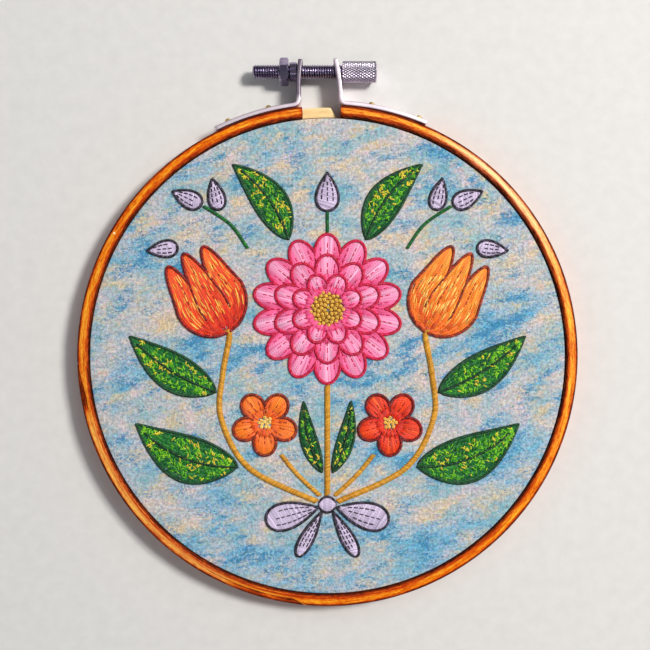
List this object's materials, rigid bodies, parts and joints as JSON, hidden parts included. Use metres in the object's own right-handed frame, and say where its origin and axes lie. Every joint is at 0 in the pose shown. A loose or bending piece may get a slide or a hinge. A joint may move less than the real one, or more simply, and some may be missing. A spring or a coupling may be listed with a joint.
{
  "type": "embroidered cloth in wooden hoop frame",
  "caption": "Floral embroidered cloth stretched in a round split wooden hoop, drawn tight by a knurled thumb screw between two metal brackets.",
  "frame": {"origin": "middle of the footprint, on the surface that the hoop's back lies on", "axes": "+Z out of the embroidered face, +Y from the middle of the hoop to the thumb screw, +X to the right as the face is read"},
  "size_m": [0.16, 0.1761, 0.009],
  "materials": {
    "stained_wood": "orange stain under gloss varnish",
    "bare_wood": "bare, sanded",
    "cloth": "plain weave cotton, mottled blue on pale grey and cream",
    "nickel": "nickel plated",
    "brass": "dull",
    "pink_thread": "glossy embroidery thread",
    "gold_thread": "glossy embroidery thread",
    "red_thread": "glossy embroidery thread",
    "orange_thread": "glossy embroidery thread",
    "green_thread": "glossy embroidery thread",
    "white_thread": "glossy embroidery thread"
  },
  "bodies": {
    "hoop": {"outer_ring": "stained_wood", "outer_ring_lap": "stained_wood", "split_filler": "bare_wood", "inner_ring": "bare_wood", "cloth": "cloth", "bracket_left": "nickel", "bracket_right": "nickel", "pin_1": "brass", "pin_2": "brass", "pin_3": "brass", "pin_4": "brass", "nut_collar": "nickel", "lock_nut": "nickel", "bloom_petals": "pink_thread", "bloom_eye": "gold_thread", "tulip_left": "red_thread", "tulip_right": "orange_thread", "small_flower_left": "orange_thread", "small_flower_right": "red_thread", "leaf_top_left": "green_thread", "leaf_top_right": "green_thread", "leaf_side_left": "green_thread", "leaf_side_right": "green_thread", "leaf_low_left": "green_thread", "leaf_low_right": "green_thread", "leaf_inner_left": "green_thread", "leaf_inner_right": "green_thread", "sprig_left": "green_thread", "sprig_right": "green_thread", "sprig_centre": "green_thread", "stem_centre": "gold_thread", "stem_outer_left": "gold_thread", "stem_outer_right": "gold_thread", "stem_short_left": "gold_thread", "stem_short_right": "gold_thread", "bud_centre": "white_thread", "bud_outer_left": "white_thread", "bud_outer_right": "white_thread", "bud_inner_left": "white_thread", "bud_inner_right": "white_thread", "bud_side_left": "white_thread", "bud_side_right": "white_thread", "bow_knot": "white_thread", "bow_loop_left": "white_thread", "bow_loop_right": "white_thread", "bow_tail_left": "white_thread", "bow_tail_right": "white_thread"},
    "thumb_screw": {"thumb_screw": "nickel"}
  },
  "joints": [
    {"name": "thumb_screw_turn", "type": "hinge", "parent": "hoop", "child": "thumb_screw", "pos_m": [0, 0.08405, 0.0045], "axis": [1, 0, 0], "continuous": true}
  ]
}
